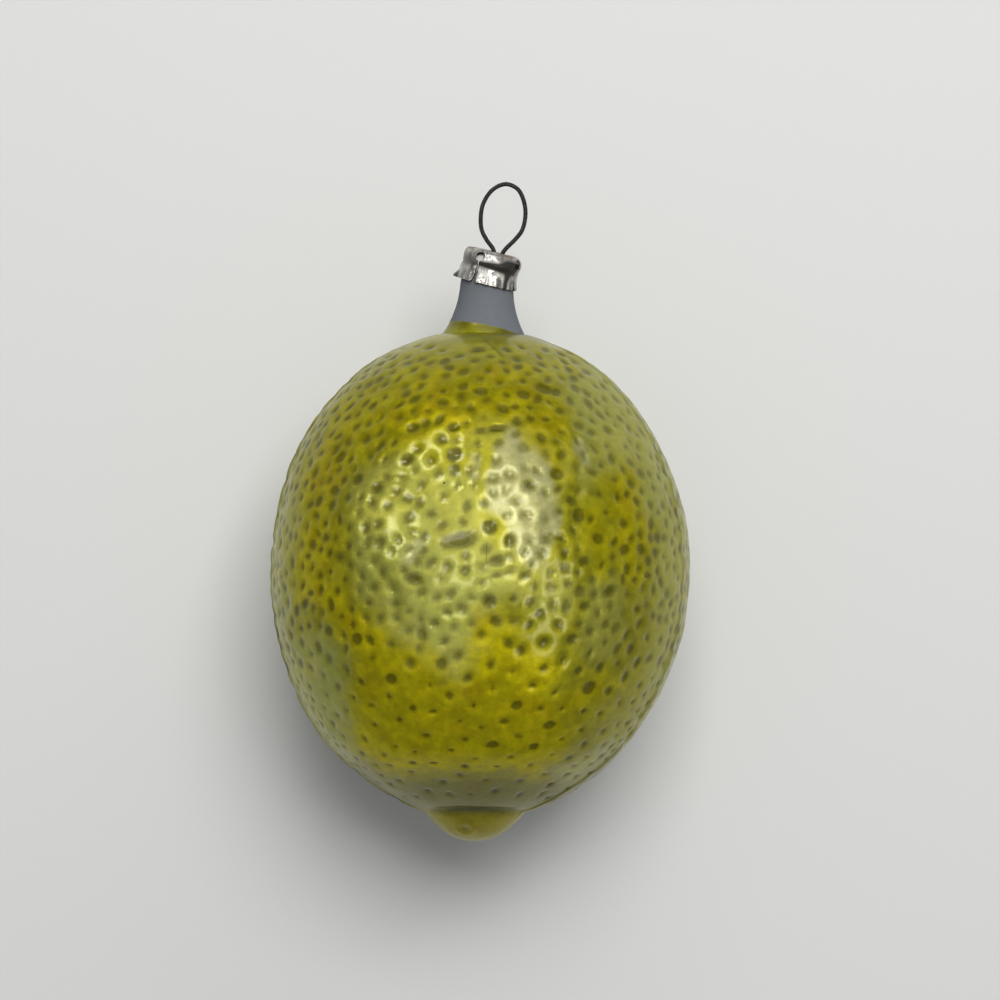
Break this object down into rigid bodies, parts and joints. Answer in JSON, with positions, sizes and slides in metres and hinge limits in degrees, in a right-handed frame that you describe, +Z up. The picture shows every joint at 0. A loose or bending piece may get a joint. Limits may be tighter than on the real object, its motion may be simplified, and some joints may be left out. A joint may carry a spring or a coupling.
{
  "type": "glass lime ornament",
  "caption": "Hollow blown-glass lime with a dimpled lacquered skin, a bare neck, a stamped metal cap askew on it and a spring-wire hanging loop.",
  "frame": {"origin": "middle of the small flat spot on the underside, below the widest section, where the ornament rests on a surface", "axes": "+Y along the fruit's long axis towards the cap and hanger, +Z up from the surface it lies on, +X across it"},
  "size_m": [0.0542, 0.0855, 0.054],
  "materials": {
    "lacquered_glass": "translucent green and yellow lacquer over silvered glass, semi-gloss, bare grey glass at the neck",
    "cap_metal": "stamped tinned sheet, tarnished in its creases",
    "dark_wire": "dark oxidised spring wire"
  },
  "bodies": {
    "root": {"glass_lime": "lacquered_glass", "cap": "cap_metal", "hanger_wire": "dark_wire"}
  },
  "joints": []
}
